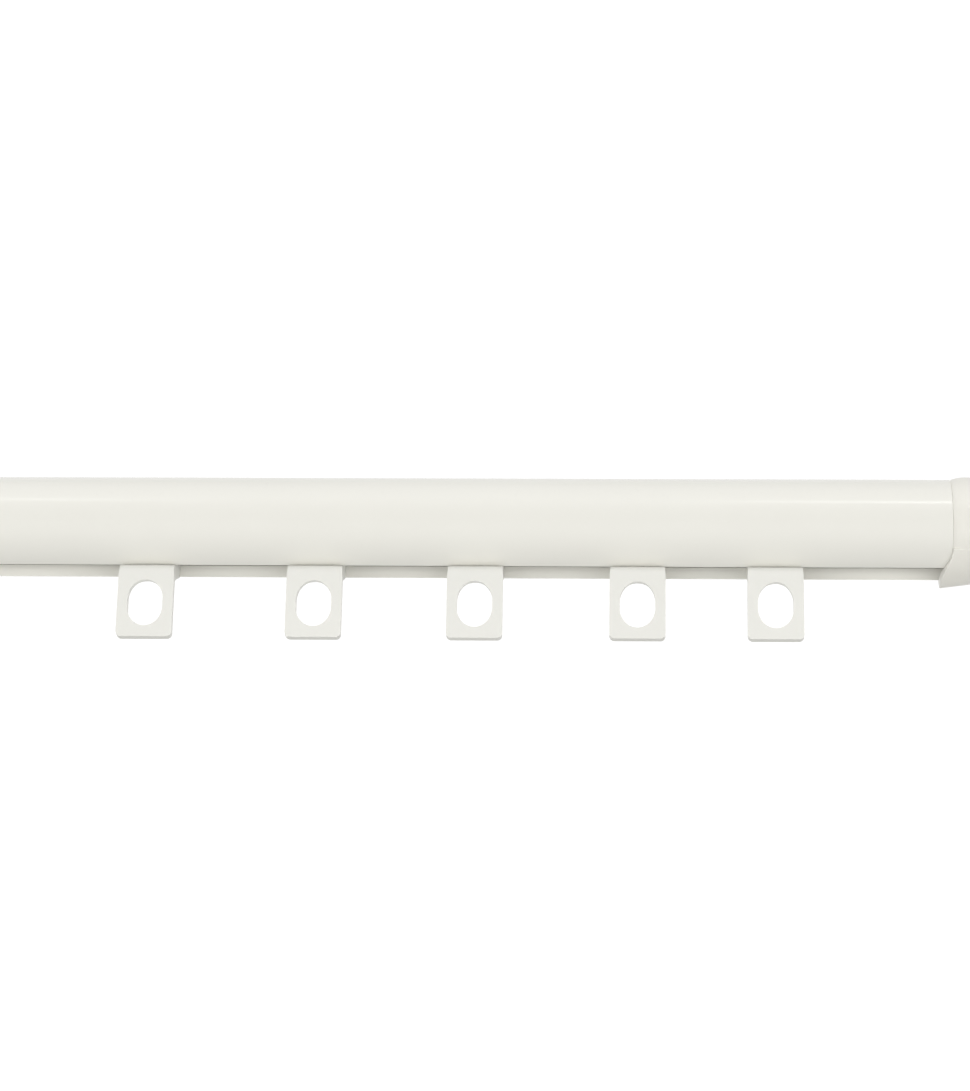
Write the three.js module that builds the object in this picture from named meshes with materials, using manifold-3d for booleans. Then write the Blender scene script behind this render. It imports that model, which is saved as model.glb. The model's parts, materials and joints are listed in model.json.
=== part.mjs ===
// A wall-mounted curtain rod: a slotted round tube, the eyelet gliders that run in it,
// an end cap at each end and two brackets. Millimetres. X runs along the rod, -Y points
// into the room, +Z is up, and the wall is the plane Y = 0 with the origin at mid-length.
import * as THREE from "three";
import { mergeVertices } from "three/addons/utils/BufferGeometryUtils.js";
import Module from "manifold-3d";

const wasm = await Module();
wasm.setup();

// ---- driving dimensions -------------------------------------------------------------
const CLEARANCE = 0.3; // between pieces that touch
const ROUND = 36; // sides of a large circle
const MEDIUM_ROUND = 24; // sides of a stem or a hub
const SMALL_ROUND = 16; // sides of a screw or a bore
const CORNER_STEPS = 4; // facets of a rounded corner
const OVERRUN = 1; // how far a cut runs past the surface, or a join into its neighbour

// The tube
const TUBE_LENGTH = 1200;
const TUBE_DIAMETER = 28;
const TUBE_WALL = 1;
const SLOT_WIDTH = 10;
const LIP_HEIGHT = 3.5; // the slot's edges are turned up into the tube and carry the gliders
const PROJECTION = 70; // from the wall to the tube's axis

// The gliders
const TAB_WIDTH = 15.4;
const TAB_HEIGHT = 17.6; // the flat face
const TAB_THICKNESS = 2.6;
const TAB_CORNER_RADIUS = 1.4;
const NECK_WIDTH = 14.8;
const GOOSENECK_DROP = 4.5; // from the slot's lips down to the flat face
const GOOSENECK_REACH = 5.2; // how far the flat face stands in front of the neck
const HEEL_THICKNESS = 2.6; // the neck's solid foot below the rear lip
const SWEEP_DROP = 3.2; // the hollow behind ends this far below the tab's top
const EYE_WIDTH = 9.7;
const EYE_HEIGHT = 13.8;
const EYE_LIFT = 10.2; // its centre above the tab's bottom edge
const EYE_SQUARENESS = 2.3; // exponent of the oval, 2 being an ellipse
const HEAD_LENGTH = 18; // the head runs inside the tube
const HEAD_THICKNESS = 1.9;
const SLOT_CLEARANCE = 0.6; // each side of the neck in the slot
const RUNNING_CLEARANCE = 0.4; // under the head and at its edges
const SWEEP_STEPS = 6; // facets down the gooseneck's hollow side

// Where the gliders stand: distances in from the right end, then evenly to the left end
const RIGHT_GLIDERS = [48.5, 86.3, 131, 175.3, 221.9];
const LEFT_GLIDER_COUNT = 7;
const LEFT_MARGIN = 90; // the leftmost glider to the left end

// The end caps
const CAP_LENGTH = 11; // outside the tube
const CAP_PROUD = 0.75; // its head's radius beyond the tube's
const CAP_DROP = 0.1; // the head sits lower than the tube's axis
const CAP_LEAD = 4; // the soft rise from the tube's surface
const CAP_EDGE = 1.6; // the outer edge's rounding
const SPIGOT_LENGTH = 14;
const SPIGOT_WALL = 1.6;
const TONGUE_LENGTH = 2.1; // the lip that reaches under the slot
const TONGUE_DEPTH = 2; // below the tube
const TONGUE_RUN = 6; // its length under the head
const TONGUE_OVERLAP = 4; // degrees past each side of the slot
const TONGUE_ROOT = 2; // how deep it is rooted in the head
const TONGUE_STEPS = 8; // facets along its curve

// The brackets
const BRACKET_INSET = 315; // in from each end of the tube
const PLATE_DIAMETER = 50;
const PLATE_THICKNESS = 4;
const COVER_WALL = 1.5;
const COVER_SIDE_ROOM = 2.5; // around the plate
const COVER_FRONT_ROOM = 1.9; // over the screw heads
const COVER_SKIRT = 4.6; // the straight part of its side
const COVER_BEVEL = 5; // the sloped shoulder's width
const STEM_DIAMETER = 12;
const SADDLE_WALL = 3;
const SADDLE_WIDTH = 22;
const SADDLE_REAR_END = -50; // degrees from the wall side, below level
const SADDLE_FRONT_END = 200; // degrees, past the top and down the front
const SADDLE_STEPS = 24;
const HUB_DIAMETER = 18;
const HUB_LENGTH = 13;
const SOCKET_DEPTH = 10; // of the stem in the hub
const BOSS_DIAMETER = 10;
const BOSS_HEIGHT = 3.5;
const TUBE_SCREW_DIAMETER = 5;
const STEM_SCREW_DIAMETER = 4;
const STEM_SCREW_LENGTH = 5;
const HEX_KEY_SHARE = 0.5; // a set screw's hex socket across its flats, and its depth
const POINT_RADIUS_SHARE = 0.35; // a set screw's blunt point
const POINT_LENGTH_SHARE = 0.15;
const ARM_BOLT_DIAMETER = 6;
const ARM_BOLT_LENGTH = 20;
const ARM_BOLT_HEAD = 12;
const ARM_BOLT_HEAD_HEIGHT = 3;
const ARM_BOLT_KEY = 4; // across the flats of its hex socket
const ARM_BOLT_KEY_DEPTH = 1.7;
const ARM_BOLT_END_ROOM = 2; // between its tip and the end of the stem's bore
const WALL_SCREW_PITCH = 34;
const WALL_SCREW_DIAMETER = 4.2;
const WALL_SCREW_LENGTH = 42;
const WALL_SCREW_HEAD = 8;
const WALL_SCREW_HEAD_HEIGHT = 2.6;
const WALL_SCREW_HEAD_CROWN = 1.2; // the slope around the head's top
const WALL_SCREW_POINT = 5;
const CROSS_SPAN = 4.6; // the cross recess in the head
const CROSS_WIDTH = 1.1;
const CROSS_DEPTH = 1.1;
const WALL_HOLE_DIAMETER = 4.8;
const PLUG_DIAMETER = 7;
const PLUG_LENGTH = 36;
const PLUG_COLLAR = 9;
const PLUG_COLLAR_THICKNESS = 1;

// ---- derived sizes ------------------------------------------------------------------
const TUBE_RADIUS = TUBE_DIAMETER / 2;
const BORE_RADIUS = TUBE_RADIUS - TUBE_WALL;
const HALF_SLOT = SLOT_WIDTH / 2;
const LIP_DROP = Math.sqrt(TUBE_RADIUS ** 2 - HALF_SLOT ** 2); // the lips below the axis
const LIP_TOP = LIP_HEIGHT - LIP_DROP;
const LIP_BACK = HALF_SLOT + TUBE_WALL; // the turned-up lip's far face
const NECK_HALF = HALF_SLOT - SLOT_CLEARANCE;
const HEAD_BOTTOM = LIP_TOP + RUNNING_CLEARANCE;
const HEAD_TOP = HEAD_BOTTOM + HEAD_THICKNESS;
const HEAD_HALF = Math.sqrt((BORE_RADIUS - RUNNING_CLEARANCE) ** 2 - HEAD_BOTTOM ** 2);
const TAB_TOP = -LIP_DROP - GOOSENECK_DROP;
const TAB_BOTTOM = TAB_TOP - TAB_HEIGHT;
const TAB_FACE = -NECK_HALF - GOOSENECK_REACH;

// ---- materials ----------------------------------------------------------------------
const paint = new THREE.MeshStandardMaterial({ color: 0xebe9e0, roughness: 0.22, metalness: 0 });
const plastic = new THREE.MeshStandardMaterial({ color: 0xebeae4, roughness: 0.42, metalness: 0 });
const capPlastic = new THREE.MeshStandardMaterial({ color: 0xebe7dc, roughness: 0.38, metalness: 0 });
const zinc = new THREE.MeshStandardMaterial({ color: 0xa9aaa8, roughness: 0.35, metalness: 1 });
const nylon = new THREE.MeshStandardMaterial({ color: 0xb9b8b2, roughness: 0.6, metalness: 0 });

// ---- solids -------------------------------------------------------------------------
// A closed three.js geometry as a solid that can be cut and joined.
function solid(geometry) {
  const bare = geometry.clone();
  bare.deleteAttribute("normal");
  bare.deleteAttribute("uv");
  const merged = mergeVertices(bare, 1e-4);
  return new wasm.Manifold(
    new wasm.Mesh({
      numProp: 3,
      vertProperties: merged.attributes.position.array,
      triVerts: new Uint32Array(merged.index.array),
    }),
  );
}

function geometryOf(made) {
  const { vertProperties, triVerts } = made.getMesh();
  const geometry = new THREE.BufferGeometry();
  geometry.setAttribute("position", new THREE.BufferAttribute(vertProperties, 3));
  geometry.setIndex(new THREE.BufferAttribute(triVerts, 1));
  geometry.computeVertexNormals();
  return geometry;
}

function extrude(shape, length) {
  return new THREE.ExtrudeGeometry(shape, {
    depth: length, bevelEnabled: false, curveSegments: CORNER_STEPS,
  });
}

// A section drawn in Y and Z, extruded along X and centred on X = 0.
function alongX(points, length) {
  const place = new THREE.Matrix4().makeBasis(
    new THREE.Vector3(0, 1, 0),
    new THREE.Vector3(0, 0, 1),
    new THREE.Vector3(1, 0, 0),
  );
  place.setPosition(-length / 2, 0, 0);
  return extrude(new THREE.Shape(points), length).applyMatrix4(place);
}

// An outline drawn in X and Z, extruded along Y from near to far.
function alongY(shape, near, far) {
  const place = new THREE.Matrix4().makeBasis(
    new THREE.Vector3(1, 0, 0),
    new THREE.Vector3(0, 0, 1),
    new THREE.Vector3(0, -1, 0),
  );
  place.setPosition(0, far, 0);
  return extrude(shape, far - near).applyMatrix4(place);
}

// A body turned about the Y axis, from [radius, y] pairs that run outside upwards.
function turned(pairs, sides = ROUND) {
  return new THREE.LatheGeometry(
    pairs.map(([radius, y]) => new THREE.Vector2(radius, y)),
    sides,
  );
}

function rod(diameter, from, to, sides = SMALL_ROUND) {
  return turned([[0, from], [diameter / 2, from], [diameter / 2, to], [0, to]], sides);
}

const pointOnCircle = (radius, degrees) => {
  const angle = THREE.MathUtils.degToRad(degrees);
  return new THREE.Vector2(radius * Math.cos(angle), radius * Math.sin(angle));
};

// Points along an arc about the tube's axis; 0 degrees faces the wall and 90 is up.
function arc(radius, from, to, steps) {
  return Array.from({ length: steps + 1 }, (_, i) =>
    pointOnCircle(radius, from + ((to - from) * i) / steps),
  );
}

// ---- the tube -----------------------------------------------------------------------
// Rolled from sheet, with both edges turned up along the slot.
function slottedTube() {
  const edge = THREE.MathUtils.radToDeg(Math.asin(HALF_SLOT / TUBE_RADIUS));
  const fold = THREE.MathUtils.radToDeg(Math.asin(LIP_BACK / BORE_RADIUS));
  return alongX([
    ...arc(TUBE_RADIUS, -90 + edge, 270 - edge, ROUND),
    new THREE.Vector2(-HALF_SLOT, LIP_TOP),
    new THREE.Vector2(-LIP_BACK, LIP_TOP),
    ...arc(BORE_RADIUS, 270 - fold, -90 + fold, ROUND),
    new THREE.Vector2(LIP_BACK, LIP_TOP),
    new THREE.Vector2(HALF_SLOT, LIP_TOP),
  ], TUBE_LENGTH);
}

// ---- a glider -----------------------------------------------------------------------
// The side profile: a head in the tube, a neck through the slot, then a gooseneck that
// brings the tab forward of the slot. Y grows towards the wall.
function gliderProfile() {
  const tabBack = TAB_FACE + TAB_THICKNESS;
  const rearSweep = new THREE.CubicBezierCurve(
    new THREE.Vector2(tabBack, TAB_TOP - SWEEP_DROP),
    new THREE.Vector2(tabBack, TAB_TOP + TAB_THICKNESS / 4),
    new THREE.Vector2(0, -LIP_DROP - HEEL_THICKNESS),
    new THREE.Vector2(NECK_HALF, -LIP_DROP - CLEARANCE),
  );
  return [
    new THREE.Vector2(TAB_FACE, TAB_BOTTOM),
    new THREE.Vector2(tabBack, TAB_BOTTOM),
    ...rearSweep.getPoints(SWEEP_STEPS),
    new THREE.Vector2(NECK_HALF, HEAD_BOTTOM),
    new THREE.Vector2(HEAD_HALF, HEAD_BOTTOM),
    new THREE.Vector2(HEAD_HALF, HEAD_TOP),
    new THREE.Vector2(-HEAD_HALF, HEAD_TOP),
    new THREE.Vector2(-HEAD_HALF, HEAD_BOTTOM),
    new THREE.Vector2(-NECK_HALF, HEAD_BOTTOM),
    new THREE.Vector2(-NECK_HALF, -LIP_DROP - CLEARANCE),
    new THREE.Vector2(TAB_FACE, TAB_TOP),
  ];
}

// The front outline: a head, a neck that widens into the tab, rounded bottom corners.
function gliderOutline() {
  const tab = TAB_WIDTH / 2;
  const neck = NECK_WIDTH / 2;
  const head = HEAD_LENGTH / 2;
  const corner = TAB_BOTTOM + TAB_CORNER_RADIUS;
  const outline = new THREE.Shape();
  outline.moveTo(head, HEAD_BOTTOM);
  outline.lineTo(head, 0);
  outline.lineTo(-head, 0);
  outline.lineTo(-head, HEAD_BOTTOM);
  outline.lineTo(-neck, HEAD_BOTTOM);
  outline.lineTo(-neck, -LIP_DROP);
  outline.lineTo(-tab, TAB_TOP);
  outline.lineTo(-tab, corner);
  outline.absarc(TAB_CORNER_RADIUS - tab, corner, TAB_CORNER_RADIUS, Math.PI, 1.5 * Math.PI);
  outline.absarc(tab - TAB_CORNER_RADIUS, corner, TAB_CORNER_RADIUS, 1.5 * Math.PI, 2 * Math.PI);
  outline.lineTo(tab, TAB_TOP);
  outline.lineTo(neck, -LIP_DROP);
  outline.lineTo(neck, HEAD_BOTTOM);
  outline.closePath();
  return outline;
}

// The oval eye for the curtain hook.
function eye() {
  const power = 2 / EYE_SQUARENESS;
  const points = Array.from({ length: SMALL_ROUND }, (_, i) => {
    const angle = (2 * Math.PI * i) / SMALL_ROUND;
    const [c, s] = [Math.cos(angle), Math.sin(angle)];
    return new THREE.Vector2(
      (EYE_WIDTH / 2) * Math.sign(c) * Math.abs(c) ** power,
      (EYE_HEIGHT / 2) * Math.sign(s) * Math.abs(s) ** power + TAB_BOTTOM + EYE_LIFT,
    );
  });
  return new THREE.Shape(points);
}

function glider() {
  const body = solid(alongX(gliderProfile(), HEAD_LENGTH));
  const front = solid(alongY(gliderOutline(), -TUBE_RADIUS, TUBE_RADIUS));
  const hole = solid(alongY(eye(), -TUBE_RADIUS, TUBE_RADIUS));
  return geometryOf(body.intersect(front).subtract(hole));
}

// ---- an end cap ---------------------------------------------------------------------
// Made for the right end, with its rim at X = 0 and the tube's axis at Y = 0, Z = 0.
function endCap() {
  const head = TUBE_RADIUS + CAP_PROUD;
  const crown = CAP_LENGTH - CAP_EDGE;
  const quarter = Array.from({ length: CORNER_STEPS }, (_, i) => {
    const angle = (Math.PI / 2) * (i / (CORNER_STEPS - 1));
    return [head - CAP_EDGE + CAP_EDGE * Math.cos(angle), crown + CAP_EDGE * Math.sin(angle)];
  });
  const headShape = turned([
    [0, CLEARANCE], [TUBE_RADIUS, CLEARANCE], [head, CAP_LEAD], ...quarter, [0, CAP_LENGTH],
  ]);
  const onX = new THREE.Matrix4().makeRotationZ(-Math.PI / 2);
  headShape.applyMatrix4(onX).translate(0, 0, -CAP_DROP);

  const spigotOut = BORE_RADIUS - CLEARANCE;
  const spigotIn = spigotOut - SPIGOT_WALL;
  const spigot = turned([
    [0, CLEARANCE], [spigotIn, CLEARANCE], [spigotIn, -SPIGOT_LENGTH],
    [spigotOut, -SPIGOT_LENGTH], [spigotOut, OVERRUN], [0, OVERRUN],
  ]).applyMatrix4(onX);
  const lipRoom = new THREE.BoxGeometry(
    2 * (SPIGOT_LENGTH + OVERRUN), 2 * (LIP_BACK + CLEARANCE), TUBE_RADIUS,
  ).translate(0, 0, -TUBE_RADIUS / 2);

  const tongueOut = TUBE_RADIUS + TONGUE_DEPTH;
  const tongueIn = TUBE_RADIUS + CLEARANCE;
  const reach = THREE.MathUtils.radToDeg(Math.asin(HALF_SLOT / tongueOut)) + TONGUE_OVERLAP;
  const band = (inner) => [
    ...arc(tongueOut, -90 - reach, -90 + reach, TONGUE_STEPS),
    ...arc(inner, -90 + reach, -90 - reach, TONGUE_STEPS),
  ];
  const lip = alongX(band(tongueIn), TONGUE_LENGTH + OVERRUN);
  lip.translate((OVERRUN - TONGUE_LENGTH) / 2, 0, 0);
  const foot = alongX(band(TUBE_RADIUS - TONGUE_ROOT), TONGUE_RUN - CLEARANCE);
  foot.translate((TONGUE_RUN + CLEARANCE) / 2, 0, 0);
  const sleeve = solid(spigot).subtract(solid(lipRoom)); // open below, around the tube's lips
  return geometryOf(solid(headShape).add(sleeve).add(solid(lip)).add(solid(foot)));
}

// ---- a bracket, centred on X = 0, with the wall at Y = 0 --------------------------------
const AXIS_Y = -PROJECTION;
const SADDLE_IN = TUBE_RADIUS + CLEARANCE;
const SADDLE_OUT = SADDLE_IN + SADDLE_WALL;
const HUB_END = AXIS_Y + SADDLE_OUT + HUB_LENGTH;
const STEM_FRONT = HUB_END - SOCKET_DEPTH;
const STEM_SCREW_Y = STEM_FRONT + SOCKET_DEPTH / 2;
const ARM_BORE_END = -ARM_BOLT_LENGTH - ARM_BOLT_END_ROOM;

function bored(body, ...cuts) {
  return geometryOf(cuts.reduce((left, cut) => left.subtract(solid(cut)), solid(body)));
}

function wallPlate() {
  const plate = rod(PLATE_DIAMETER, -PLATE_THICKNESS, 0, ROUND);
  const front = -PLATE_THICKNESS - OVERRUN;
  const seat = -ARM_BOLT_HEAD_HEIGHT - CLEARANCE;
  const bore = ARM_BOLT_DIAMETER / 2 + CLEARANCE;
  const counterbore = ARM_BOLT_HEAD / 2 + CLEARANCE;
  const screwHole = (z) => rod(WALL_HOLE_DIAMETER, front, OVERRUN).translate(0, 0, z);
  const boltHole = turned([
    [0, front], [bore, front], [bore, seat], [counterbore, seat],
    [counterbore, OVERRUN], [0, OVERRUN],
  ], SMALL_ROUND);
  return bored(plate, screwHole(WALL_SCREW_PITCH / 2), screwHole(-WALL_SCREW_PITCH / 2), boltHole);
}

// The cover is a turned shell, open at the wall and at the stem.
function cover() {
  const side = PLATE_DIAMETER / 2 + COVER_SIDE_ROOM;
  const out = side + COVER_WALL;
  const back = -PLATE_THICKNESS - CLEARANCE - WALL_SCREW_HEAD_HEIGHT - COVER_FRONT_ROOM;
  const front = back - COVER_WALL;
  const hole = STEM_DIAMETER / 2 + CLEARANCE;
  return turned([
    [side, 0], [side, -COVER_SKIRT], [side - COVER_BEVEL, back], [hole, back], [hole, front],
    [out - COVER_BEVEL, front], [out, -COVER_SKIRT - COVER_WALL / 2], [out, 0], [side, 0],
  ]);
}

function stem() {
  const body = rod(STEM_DIAMETER, STEM_FRONT, -PLATE_THICKNESS - CLEARANCE, MEDIUM_ROUND);
  return bored(body, rod(ARM_BOLT_DIAMETER + 2 * CLEARANCE, ARM_BORE_END, 0));
}

// The saddle holds the tube from behind and above, so the slot stays open underneath.
function saddle() {
  const band = alongX([
    ...arc(SADDLE_OUT, SADDLE_REAR_END, SADDLE_FRONT_END, SADDLE_STEPS),
    ...arc(SADDLE_IN, SADDLE_FRONT_END, SADDLE_REAR_END, SADDLE_STEPS),
  ], SADDLE_WIDTH).translate(0, AXIS_Y, 0);
  const root = SADDLE_IN + SADDLE_WALL / 3; // the hub and the boss start inside the band
  const bossTop = SADDLE_OUT + BOSS_HEIGHT;
  const bore = (diameter) => diameter + 2 * CLEARANCE;
  const upright = (geometry, y) =>
    geometry.applyMatrix4(new THREE.Matrix4().makeRotationX(Math.PI / 2)).translate(0, y, 0);
  const hub = rod(HUB_DIAMETER, AXIS_Y + root, HUB_END, MEDIUM_ROUND);
  const boss = upright(rod(BOSS_DIAMETER, root, bossTop), AXIS_Y);
  const joined = solid(band).add(solid(hub)).add(solid(boss));
  const cuts = [
    rod(bore(STEM_DIAMETER), STEM_FRONT - CLEARANCE, HUB_END + OVERRUN, MEDIUM_ROUND),
    upright(rod(bore(TUBE_SCREW_DIAMETER), SADDLE_IN - OVERRUN, bossTop + OVERRUN), AXIS_Y),
    upright(rod(bore(STEM_SCREW_DIAMETER), -HUB_DIAMETER, 0), STEM_SCREW_Y),
  ];
  return geometryOf(cuts.reduce((left, cut) => left.subtract(solid(cut)), joined));
}

function hexSocket(across, from, to) {
  return rod((2 * across) / Math.sqrt(3), from, to, 6);
}

// A headless screw with a hex socket, its tip at Y = 0 and its socket at Y = length.
function setScrew(diameter, length) {
  const body = turned([
    [0, 0], [diameter * POINT_RADIUS_SHARE, 0], [diameter / 2, diameter * POINT_LENGTH_SHARE],
    [diameter / 2, length], [0, length],
  ], SMALL_ROUND);
  const across = diameter * HEX_KEY_SHARE;
  return bored(body, hexSocket(across, length - across, length + OVERRUN));
}

function armBolt() {
  const head = ARM_BOLT_HEAD / 2;
  const shank = ARM_BOLT_DIAMETER / 2;
  const body = turned([
    [0, -ARM_BOLT_LENGTH], [shank, -ARM_BOLT_LENGTH], [shank, -ARM_BOLT_HEAD_HEIGHT],
    [head, -ARM_BOLT_HEAD_HEIGHT], [head, -CLEARANCE], [0, -CLEARANCE],
  ], SMALL_ROUND);
  return bored(body, hexSocket(ARM_BOLT_KEY, -CLEARANCE - ARM_BOLT_KEY_DEPTH, OVERRUN));
}

// A pan-head screw: the head stands on the plate and the shank runs into the wall.
function wallScrew() {
  const shank = WALL_SCREW_DIAMETER / 2;
  const head = WALL_SCREW_HEAD / 2;
  const under = -PLATE_THICKNESS - CLEARANCE;
  const top = under - WALL_SCREW_HEAD_HEIGHT;
  const tip = under + WALL_SCREW_LENGTH;
  const body = turned([
    [0, top], [head - WALL_SCREW_HEAD_CROWN, top], [head, top + WALL_SCREW_HEAD_CROWN],
    [head, under], [shank, under], [shank, tip - WALL_SCREW_POINT], [0, tip],
  ], SMALL_ROUND);
  const cross = () => new THREE.BoxGeometry(CROSS_SPAN, 2 * CROSS_DEPTH, CROSS_WIDTH).translate(0, top, 0);
  return bored(body, cross(), cross().rotateY(Math.PI / 2));
}

function wallPlug() {
  const bore = WALL_SCREW_DIAMETER / 2 + CLEARANCE;
  const collarFrom = CLEARANCE;
  const bodyFrom = collarFrom + PLUG_COLLAR_THICKNESS;
  return turned([
    [bore, collarFrom], [PLUG_COLLAR / 2, collarFrom], [PLUG_COLLAR / 2, bodyFrom],
    [PLUG_DIAMETER / 2, bodyFrom], [PLUG_DIAMETER / 2, PLUG_LENGTH], [bore, PLUG_LENGTH],
    [bore, collarFrom],
  ], SMALL_ROUND);
}

// ---- the assembly -------------------------------------------------------------------
const curtainRod = new THREE.Group();

function add(group, name, geometry, material) {
  const mesh = new THREE.Mesh(geometry, material);
  mesh.name = name;
  group.add(mesh);
  return mesh;
}

const rail = new THREE.Group();
rail.position.set(0, AXIS_Y, 0);
curtainRod.add(rail);
add(rail, "slotted_tube", slottedTube(), paint);

for (const [side, turn] of [["right", 0], ["left", Math.PI]]) {
  const cap = add(rail, `end_cap_${side}`, endCap(), capPlastic);
  cap.position.x = (side === "right" ? 1 : -1) * (TUBE_LENGTH / 2);
  cap.rotation.z = turn;
}

// Gliders are numbered from the left end to the right.
const half = TUBE_LENGTH / 2;
const rightPlaces = RIGHT_GLIDERS.map((inset) => half - inset).reverse();
const leftmost = -half + LEFT_MARGIN;
const leftSpacing = (rightPlaces[0] - leftmost) / LEFT_GLIDER_COUNT;
const leftPlaces = Array.from({ length: LEFT_GLIDER_COUNT }, (_, i) => leftmost + i * leftSpacing);
[...leftPlaces, ...rightPlaces].forEach((x, i) => {
  const name = `glider_${String(i + 1).padStart(2, "0")}`;
  add(rail, name, glider(), plastic).position.x = x;
});

for (const [side, sign] of [["left", -1], ["right", 1]]) {
  const bracket = new THREE.Group();
  bracket.position.x = sign * (half - BRACKET_INSET);
  curtainRod.add(bracket);
  add(bracket, `${side}_wall_plate`, wallPlate(), paint);
  add(bracket, `${side}_cover`, cover(), paint);
  add(bracket, `${side}_stem`, stem(), paint);
  add(bracket, `${side}_saddle`, saddle(), paint);
  add(bracket, `${side}_arm_bolt`, armBolt(), zinc);

  const tubeScrewLength = SADDLE_OUT + BOSS_HEIGHT - TUBE_RADIUS - CLEARANCE;
  const tubeScrewShape = setScrew(TUBE_SCREW_DIAMETER, tubeScrewLength);
  const tubeScrew = add(bracket, `${side}_tube_screw`, tubeScrewShape, zinc);
  tubeScrew.rotation.x = Math.PI / 2;
  tubeScrew.position.set(0, AXIS_Y, TUBE_RADIUS + CLEARANCE);

  const stemScrewShape = setScrew(STEM_SCREW_DIAMETER, STEM_SCREW_LENGTH);
  const stemScrew = add(bracket, `${side}_stem_screw`, stemScrewShape, zinc);
  stemScrew.rotation.x = -Math.PI / 2;
  stemScrew.position.set(0, STEM_SCREW_Y, -STEM_DIAMETER / 2 - CLEARANCE);

  for (const [end, lift] of [["upper", 1], ["lower", -1]]) {
    const z = (lift * WALL_SCREW_PITCH) / 2;
    add(bracket, `${side}_${end}_wall_screw`, wallScrew(), zinc).position.z = z;
    add(bracket, `${side}_${end}_wall_plug`, wallPlug(), nylon).position.z = z;
  }
}

export default curtainRod;
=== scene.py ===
"""Fine surfaces, finishes and a stage for a slotted curtain rod with eyelet gliders.

Lengths are in metres. X runs along the rod, -Y points into the room and +Z is up.
"""

import json
import math
from contextlib import contextmanager

import bmesh
import bpy
from bpy.props import FloatProperty, FloatVectorProperty, IntProperty, PointerProperty
from mathutils import Matrix, Vector

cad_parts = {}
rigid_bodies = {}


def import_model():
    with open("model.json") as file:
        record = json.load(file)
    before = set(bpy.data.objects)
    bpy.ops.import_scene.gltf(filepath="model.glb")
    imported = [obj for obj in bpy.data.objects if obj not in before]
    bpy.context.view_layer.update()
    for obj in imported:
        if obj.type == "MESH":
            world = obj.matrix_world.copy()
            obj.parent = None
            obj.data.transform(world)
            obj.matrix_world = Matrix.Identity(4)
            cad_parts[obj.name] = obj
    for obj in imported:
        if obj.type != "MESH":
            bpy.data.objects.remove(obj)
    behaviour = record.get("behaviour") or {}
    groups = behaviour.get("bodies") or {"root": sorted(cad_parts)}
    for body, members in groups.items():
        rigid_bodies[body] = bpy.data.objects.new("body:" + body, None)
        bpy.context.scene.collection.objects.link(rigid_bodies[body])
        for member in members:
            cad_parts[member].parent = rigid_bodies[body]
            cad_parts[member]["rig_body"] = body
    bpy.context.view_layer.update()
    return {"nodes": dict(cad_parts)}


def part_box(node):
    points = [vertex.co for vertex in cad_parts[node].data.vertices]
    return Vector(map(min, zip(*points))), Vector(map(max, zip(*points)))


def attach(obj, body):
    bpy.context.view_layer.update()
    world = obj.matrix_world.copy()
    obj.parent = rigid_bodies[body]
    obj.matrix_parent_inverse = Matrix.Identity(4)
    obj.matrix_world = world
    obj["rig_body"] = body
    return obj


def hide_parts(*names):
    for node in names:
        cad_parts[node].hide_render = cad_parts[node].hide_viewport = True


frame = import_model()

bl_info = {
    "name": "Slotted Curtain Rod",
    "version": (1, 0, 0),
    "blender": (4, 5, 0),
    "location": "View3D > Sidebar > Curtain Rod",
    "description": "Builds the fine surfaces of a slotted curtain rod, its gliders and brackets",
    "category": "Object",
}

MM = 0.001
SAME = 0.01 * MM  # two places closer than this are one
OVERRUN = 1 * MM  # how far a cutter stands out of what it cuts
SIDES = ("left", "right")
TUBE_LOW, TUBE_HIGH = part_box("slotted_tube")
TUBE_RADIUS = (TUBE_HIGH.y - TUBE_LOW.y) / 2
AXIS_Y = (TUBE_HIGH.y + TUBE_LOW.y) / 2
AXIS_Z = TUBE_HIGH.z - TUBE_RADIUS
GLIDERS = sorted(name for name in frame["nodes"] if name.startswith("glider_"))


def middle(node):
    low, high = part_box(node)
    return (low + high) / 2


# ---- settings -----------------------------------------------------------------------
def length(name, description, millimetres):
    return FloatProperty(name=name, description=description, default=millimetres * MM, unit="LENGTH")


class TubeSettings(bpy.types.PropertyGroup):
    wall: length("Wall", "Thickness of the rolled steel", 1)
    slot_width: length("Slot width", "Opening under the tube", 10)
    lip_height: length("Lip height", "Of the edges turned up along the slot", 3.5)
    fold_radius: length("Fold radius", "Outside of the fold along the slot", 0.36)
    edge_radius: length("Edge radius", "Rounding of every cut edge", 0.15)
    facets: IntProperty(
        name="Facets", description="Sides of the full circle", default=192, min=24)


class GliderSettings(bpy.types.PropertyGroup):
    tab_width: length("Tab width", "Across the flat face", 15.4)
    tab_height: length("Tab height", "The flat face below the bend", 17.6)
    tab_thickness: length("Tab thickness", "From face to back", 2.6)
    corner_radius: length("Corner radius", "The tab's two lower corners", 1.4)
    neck_width: length("Neck width", "Where it passes the slot", 14.8)
    neck_depth: length("Neck depth", "Across the slot", 8.8)
    eye_width: length("Eye width", "Across the oval", 9.7)
    eye_height: length("Eye height", "Along the oval, at the front", 12.9)
    eye_lift: length("Eye lift", "Its centre above the bottom edge", 9.8)
    running_room: length("Running room", "Between the head and the lips that carry it", 0.4)
    edge_radius: length("Edge radius", "Rounding of the moulded edges", 0.45)
    eye_draft: length("Eye draft", "How much higher and lower the eye reaches at the back", 0.8)


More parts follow.
